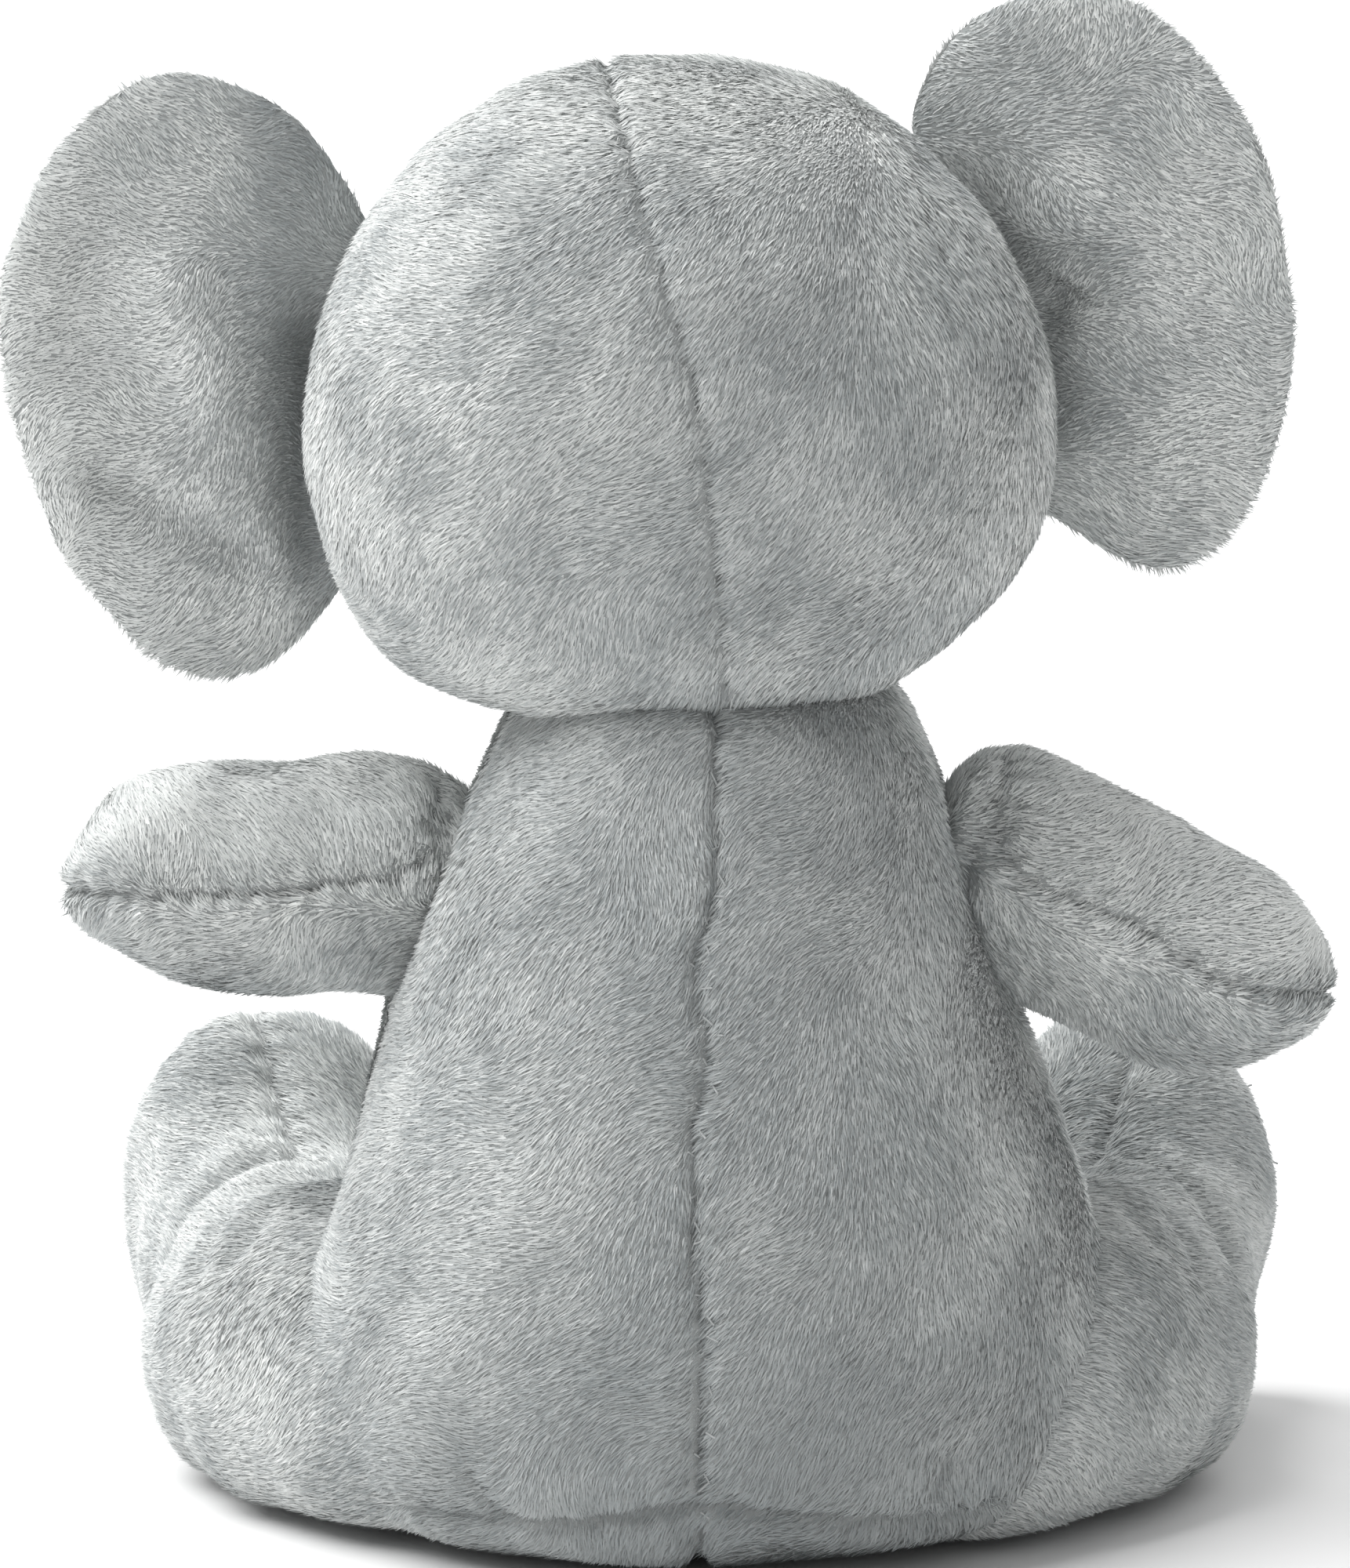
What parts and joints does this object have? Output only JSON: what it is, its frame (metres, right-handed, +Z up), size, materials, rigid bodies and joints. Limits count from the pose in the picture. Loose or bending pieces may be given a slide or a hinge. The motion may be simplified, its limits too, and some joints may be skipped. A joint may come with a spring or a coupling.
{
  "type": "stuffed elephant",
  "caption": "Sitting grey plush elephant with wide ears, outstretched arms, upright feet and a curved trunk, on soft joints.",
  "frame": {"origin": "on the flat underside that the toy sits on, under the middle of its body", "axes": "+Z up, the elephant faces -Y, +X towards its own left side"},
  "size_m": [0.2542, 0.1941, 0.2958],
  "materials": {
    "plush": "short grey plush pile",
    "ear_lining": "paler, shorter plush",
    "sole_fabric": "paler, shorter plush",
    "fibrefill": "white polyester fibre filling",
    "pouch": "plain woven pouch of plastic pellets",
    "eye": "polished black",
    "plastic": "moulded"
  },
  "bodies": {
    "body": {"back_panel_left": "plush", "back_panel_right": "plush", "belly_panel": "plush", "bottom_panel_left": "plush", "bottom_panel_right": "plush", "body_stuffing": "fibrefill", "pellet_pouch": "pouch"},
    "neck": {"neck_stuffing": "fibrefill"},
    "head": {"head_panel_left": "plush", "head_panel_right": "plush", "head_stuffing": "fibrefill", "eye_left": "eye", "eye_washer_left": "plastic", "eye_right": "eye", "eye_washer_right": "plastic"},
    "trunk": {"trunk_panel_left": "plush", "trunk_panel_right": "plush", "trunk_stuffing": "fibrefill"},
    "ear_left": {"ear_left_back_panel": "plush", "ear_left_front_panel": "ear_lining", "ear_left_wadding": "fibrefill"},
    "arm_left": {"arm_left_upper_panel": "plush", "arm_left_lower_panel": "plush", "arm_left_stuffing": "fibrefill"},
    "leg_left": {"leg_left_outer_panel": "plush", "leg_left_inner_panel": "plush", "leg_left_sole": "sole_fabric", "leg_left_stuffing": "fibrefill"},
    "ear_right": {"ear_right_back_panel": "plush", "ear_right_front_panel": "ear_lining", "ear_right_wadding": "fibrefill"},
    "arm_right": {"arm_right_upper_panel": "plush", "arm_right_lower_panel": "plush", "arm_right_stuffing": "fibrefill"},
    "leg_right": {"leg_right_outer_panel": "plush", "leg_right_inner_panel": "plush", "leg_right_sole": "sole_fabric", "leg_right_stuffing": "fibrefill"}
  },
  "joints": [
    {"name": "neck_turn", "type": "hinge", "parent": "body", "child": "neck", "pos_m": [0, 0, 0.159], "axis": [0, 0, 1], "range_deg": [-25, 25], "stiffness_Nm_per_rad": 0.5},
    {"name": "neck_nod", "type": "hinge", "parent": "neck", "child": "head", "pos_m": [0, 0, 0.159], "axis": [1, 0, 0], "range_deg": [-10, 9], "stiffness_Nm_per_rad": 1.2},
    {"name": "trunk_lift", "type": "hinge", "parent": "head", "child": "trunk", "pos_m": [0.00329, -0.07, 0.2076], "axis": [-0.9925, 0, 0.1219], "range_deg": [-10, 35], "stiffness_Nm_per_rad": 0.08},
    {"name": "ear_left_flap", "type": "hinge", "parent": "head", "child": "ear_left", "pos_m": [0.08292, -0.01, 0.21193], "axis": [-0.009, 0, -1], "range_deg": [-20, 35], "stiffness_Nm_per_rad": 0.05},
    {"name": "ear_right_flap", "type": "hinge", "parent": "head", "child": "ear_right", "pos_m": [-0.07291, -0.01, 0.23107], "axis": [0.2332, 0, 0.9724], "range_deg": [-20, 35], "stiffness_Nm_per_rad": 0.05},
    {"name": "shoulder_left", "type": "hinge", "parent": "body", "child": "arm_left", "pos_m": [0.064, -0.004, 0.121], "axis": [0, 0, -1], "range_deg": [-20, 30], "stiffness_Nm_per_rad": 0.08},
    {"name": "shoulder_right", "type": "hinge", "parent": "body", "child": "arm_right", "pos_m": [-0.064, -0.004, 0.121], "axis": [0, 0, 1], "range_deg": [-20, 30], "stiffness_Nm_per_rad": 0.08},
    {"name": "hip_left", "type": "hinge", "parent": "body", "child": "leg_left", "pos_m": [0.078, -0.032, 0.0305], "axis": [0, 0, 1], "range_deg": [-8, 25], "stiffness_Nm_per_rad": 0.15},
    {"name": "hip_right", "type": "hinge", "parent": "body", "child": "leg_right", "pos_m": [-0.078, -0.032, 0.0305], "axis": [0, 0, -1], "range_deg": [-8, 25], "stiffness_Nm_per_rad": 0.15}
  ]
}
